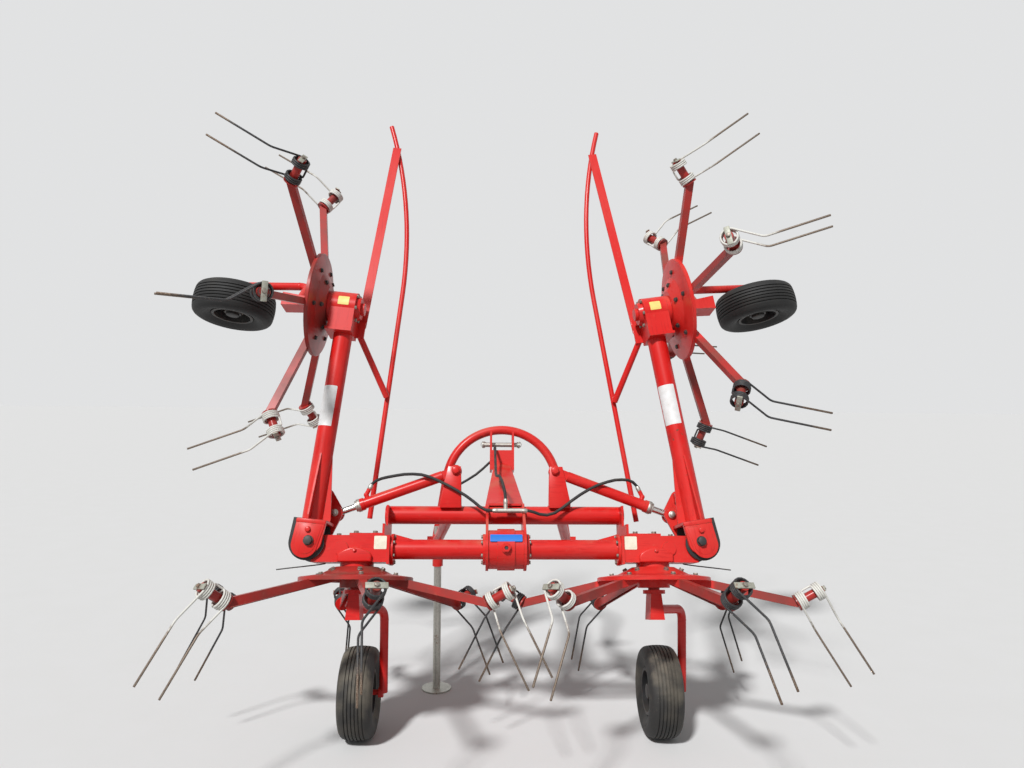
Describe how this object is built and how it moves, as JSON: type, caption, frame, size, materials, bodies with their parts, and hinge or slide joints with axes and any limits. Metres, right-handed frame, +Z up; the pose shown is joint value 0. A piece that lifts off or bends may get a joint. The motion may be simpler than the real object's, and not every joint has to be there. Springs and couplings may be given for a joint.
{
  "type": "four-rotor mounted hay tedder, outer arms folded",
  "caption": "Mounted rotary hay tedder with spring tines, its outer arms folded upright, standing on gauge wheels and a parking stand.",
  "frame": {"origin": "centre of the base of the parked, folded machine's box, on the ground", "axes": "+Z up, +Y forward towards the tractor's hitch, +X to the machine's right"},
  "size_m": [3.1556, 2.131, 3.0633],
  "materials": {
    "red_paint": "glossy enamel, scuffed at edges",
    "black_paint": "satin black paint",
    "bright_steel": "zinc plated, slightly dulled",
    "zinc_steel": "galvanised tube",
    "tine_steel": "black paint worn to bare steel at the tips",
    "hose_rubber": "matt black hose cover",
    "tyre_rubber": "matt, dusty tread"
  },
  "bodies": {
    "root": {"centre_gearbox": "red_paint", "input_shaft": "bright_steel", "side_plates": "red_paint", "beam_left": "red_paint", "beam_right": "red_paint", "cross_tube": "red_paint", "seat_plate_left": "red_paint", "seat_plate_right": "red_paint", "housing_left": "red_paint", "housing_right": "red_paint", "wheel_leg_left": "red_paint", "wheel_leg_right": "red_paint", "tower_strut": "red_paint", "headstock_arch": "red_paint", "top_bracket": "black_paint", "top_pin": "bright_steel", "hitch_strut_left": "red_paint", "hitch_strut_right": "red_paint", "lower_pins": "bright_steel", "cylinder_bracket_left": "red_paint", "cylinder_bracket_right": "red_paint", "cylinder_left": "red_paint", "cylinder_right": "red_paint", "hose_tee": "bright_steel", "hose_left": "hose_rubber", "hose_right": "hose_rubber", "hose_supply": "hose_rubber", "hose_coupler": "bright_steel"},
    "arm_left": {"arm_left": "red_paint", "outer_gearbox_left": "red_paint", "guard_rod_left": "red_paint", "guard_struts_left": "red_paint", "outer_leg_left": "red_paint"},
    "rod_left": {"rod_left": "bright_steel"},
    "rotor_inner_left": {"rotor_inner_left": "red_paint", "tines_inner_left": "tine_steel"},
    "wheel_inner_left": {"tyre_inner_left": "tyre_rubber", "rim_inner_left": "black_paint"},
    "rotor_outer_left": {"rotor_outer_left": "red_paint", "tines_outer_left": "tine_steel"},
    "wheel_outer_left": {"tyre_outer_left": "tyre_rubber", "rim_outer_left": "black_paint"},
    "arm_right": {"arm_right": "red_paint", "outer_gearbox_right": "red_paint", "guard_rod_right": "red_paint", "guard_struts_right": "red_paint", "outer_leg_right": "red_paint"},
    "rod_right": {"rod_right": "bright_steel"},
    "rotor_inner_right": {"rotor_inner_right": "red_paint", "tines_inner_right": "tine_steel"},
    "wheel_inner_right": {"tyre_inner_right": "tyre_rubber", "rim_inner_right": "black_paint"},
    "rotor_outer_right": {"rotor_outer_right": "red_paint", "tines_outer_right": "tine_steel"},
    "wheel_outer_right": {"tyre_outer_right": "tyre_rubber", "rim_outer_right": "black_paint"},
    "stand": {"stand": "zinc_steel"}
  },
  "joints": [
    {"name": "fold_left", "type": "hinge", "parent": "root", "child": "arm_left", "pos_m": [-0.81305, -0.09255, 0.93248], "axis": [0, -0.9627, 0.2706], "range_deg": [0, 95.5]},
    {"name": "rod_left", "type": "slide", "parent": "root", "child": "rod_left", "axis": [-0.9393, -0.0928, -0.3302], "range_m": [0, 0.2299]},
    {"name": "fold_right", "type": "hinge", "parent": "root", "child": "arm_right", "pos_m": [0.87695, -0.09255, 0.93248], "axis": [0, 0.9627, -0.2706], "range_deg": [0, 98.5]},
    {"name": "rod_right", "type": "slide", "parent": "root", "child": "rod_right", "axis": [0.9357, -0.0955, -0.3397], "range_m": [0, 0.2353]},
    {"name": "spin_inner_left", "type": "hinge", "parent": "root", "child": "rotor_inner_left", "pos_m": [-0.61805, -0.1326, 0.79], "axis": [0, 0.2706, 0.9627], "continuous": true},
    {"name": "spin_inner_right", "type": "hinge", "parent": "root", "child": "rotor_inner_right", "pos_m": [0.68195, -0.1326, 0.79], "axis": [0, 0.2706, 0.9627], "continuous": true},
    {"name": "spin_outer_left", "type": "hinge", "parent": "arm_left", "child": "rotor_outer_left", "pos_m": [-0.85427, 0.20946, 2.00693], "axis": [0.9954, -0.0259, -0.0923], "continuous": true},
    {"name": "spin_outer_right", "type": "hinge", "parent": "arm_right", "child": "rotor_outer_right", "pos_m": [0.8597, 0.20963, 2.00753], "axis": [-0.989, -0.04, -0.1423], "continuous": true},
    {"name": "roll_inner_left", "type": "hinge", "parent": "root", "child": "wheel_inner_left", "pos_m": [-0.63205, 0.0873, 0.205], "axis": [1, 0, 0], "continuous": true},
    {"name": "roll_inner_right", "type": "hinge", "parent": "root", "child": "wheel_inner_right", "pos_m": [0.76195, 0.0873, 0.205], "axis": [1, 0, 0], "continuous": true},
    {"name": "roll_outer_left", "type": "hinge", "parent": "arm_left", "child": "wheel_outer_left", "pos_m": [-1.36897, 0.52935, 2.03632], "axis": [0.0958, 0.2694, 0.9583], "continuous": true},
    {"name": "roll_outer_right", "type": "hinge", "parent": "arm_right", "child": "wheel_outer_right", "pos_m": [1.36769, 0.53677, 2.06271], "axis": [-0.1478, 0.2676, 0.9521], "continuous": true},
    {"name": "stand_lift", "type": "slide", "parent": "root", "child": "stand", "axis": [0, 0, 1], "range_m": [0, 0.45]}
  ],
  "couplings": [
    {"joint": "rod_left", "follows": "fold_left", "m_per_rad": 0.13763},
    {"joint": "rod_right", "follows": "fold_right", "m_per_rad": 0.13658},
    {"joint": "spin_inner_right", "follows": "spin_inner_left", "ratio": -1},
    {"joint": "spin_outer_left", "follows": "spin_inner_left", "ratio": -1},
    {"joint": "spin_outer_right", "follows": "spin_inner_left", "ratio": 1}
  ]
}
